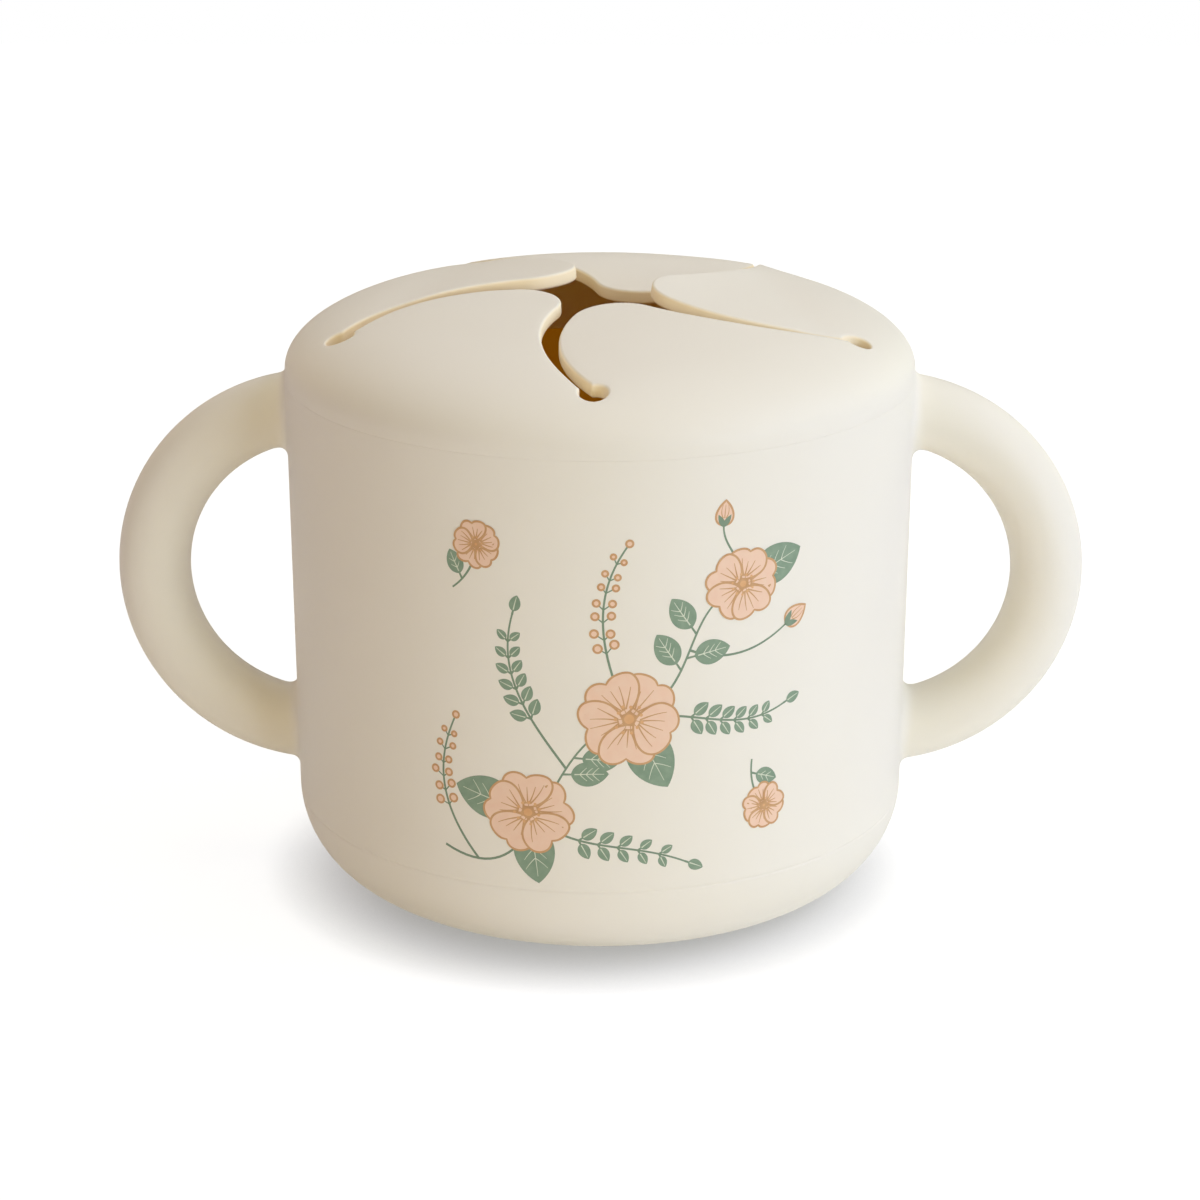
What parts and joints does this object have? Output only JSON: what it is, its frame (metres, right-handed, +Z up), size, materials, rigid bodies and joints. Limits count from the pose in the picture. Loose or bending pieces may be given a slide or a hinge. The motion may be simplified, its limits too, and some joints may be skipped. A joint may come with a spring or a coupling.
{
  "type": "toddler snack container",
  "caption": "Two-handled silicone snack cup with a lift-off lid whose crown is a pinwheel of bending flaps around a small centre opening.",
  "frame": {"origin": "centre of the foot, on the surface that the cup stands on", "axes": "+Z up along the cup's axis, the handles lie along X, -Y is the printed front"},
  "size_m": [0.1402, 0.09, 0.0887],
  "materials": {
    "cup": "matt silicone",
    "lid": "matt silicone",
    "print": "matt printed ink"
  },
  "bodies": {
    "cup": {"cup_body": "cup", "handle_left": "cup", "handle_right": "cup"},
    "lid": {"lid_rim": "lid"},
    "front_right_flap": {"flap_front_right": "lid"},
    "right_flap": {"flap_right": "lid"},
    "back_flap": {"flap_back": "lid"},
    "left_flap": {"flap_left": "lid"},
    "front_left_flap": {"flap_front_left": "lid"}
  },
  "joints": [
    {"name": "lid_lift", "type": "slide", "parent": "cup", "child": "lid", "axis": [0, 0, 1], "range_m": [0, 0.06]},
    {"name": "front_right_bend", "type": "hinge", "parent": "lid", "child": "front_right_flap", "pos_m": [0.0152, -0.02146, 0.08359], "axis": [0.8161, 0.5779, 0], "range_deg": [-55, 35], "stiffness_Nm_per_rad": 0.03},
    {"name": "right_bend", "type": "hinge", "parent": "lid", "child": "right_flap", "pos_m": [0.02511, 0.00782, 0.08359], "axis": [-0.2974, 0.9548, 0], "range_deg": [-55, 35], "stiffness_Nm_per_rad": 0.03},
    {"name": "back_bend", "type": "hinge", "parent": "lid", "child": "back_flap", "pos_m": [0.00032, 0.0263, 0.08359], "axis": [-0.9999, 0.0122, 0], "range_deg": [-55, 35], "stiffness_Nm_per_rad": 0.03},
    {"name": "left_bend", "type": "hinge", "parent": "lid", "child": "left_flap", "pos_m": [-0.02491, 0.00843, 0.08359], "axis": [-0.3206, -0.9472, 0], "range_deg": [-55, 35], "stiffness_Nm_per_rad": 0.03},
    {"name": "front_left_bend", "type": "hinge", "parent": "lid", "child": "front_left_flap", "pos_m": [-0.01572, -0.02109, 0.08359], "axis": [0.8018, -0.5976, 0], "range_deg": [-55, 35], "stiffness_Nm_per_rad": 0.03}
  ]
}
